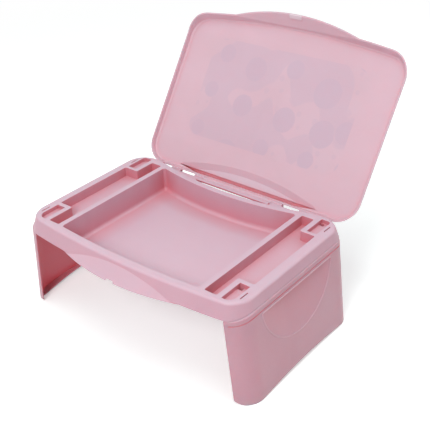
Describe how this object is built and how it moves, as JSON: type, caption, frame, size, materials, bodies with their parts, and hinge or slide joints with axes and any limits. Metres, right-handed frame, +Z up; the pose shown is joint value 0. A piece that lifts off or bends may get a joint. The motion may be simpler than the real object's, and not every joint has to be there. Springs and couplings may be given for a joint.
{
  "type": "lap desk",
  "caption": "Portable lap desk: a tray with storage wells under a lift lid that is its work surface, standing on fold-down side legs.",
  "frame": {"origin": "centre of the bounding box's footprint, on the surface the feet stand on, with the legs down and the lid resting open", "axes": "+X to the right of the person using the desk, +Y away from them towards the hinge, +Z up"},
  "size_m": [0.4996, 0.5139, 0.434],
  "materials": {
    "shell_plastic": "semi-matt moulded polypropylene, pale pink",
    "print_film": "thin printed film, pastel shapes",
    "pin_steel": "plain bright wire"
  },
  "bodies": {
    "tray": {"tray": "shell_plastic", "hinge_pins": "pin_steel", "leg_pins": "pin_steel"},
    "lid": {"lid": "shell_plastic", "lid_print": "print_film"},
    "left_leg": {"left_leg": "shell_plastic"},
    "right_leg": {"right_leg": "shell_plastic"}
  },
  "joints": [
    {"name": "lid_hinge", "type": "hinge", "parent": "tray", "child": "lid", "pos_m": [0, 0.06896, 0.1623], "axis": [1, 0, 0], "range_deg": [0, 124.8]},
    {"name": "right_leg_hinge", "type": "hinge", "parent": "tray", "child": "right_leg", "pos_m": [0.196, -0.06784, 0.158], "axis": [0, 1, 0], "range_deg": [0, 91]},
    {"name": "left_leg_hinge", "type": "hinge", "parent": "tray", "child": "left_leg", "pos_m": [-0.196, -0.06784, 0.158], "axis": [0, -1, 0], "range_deg": [0, 91]}
  ]
}
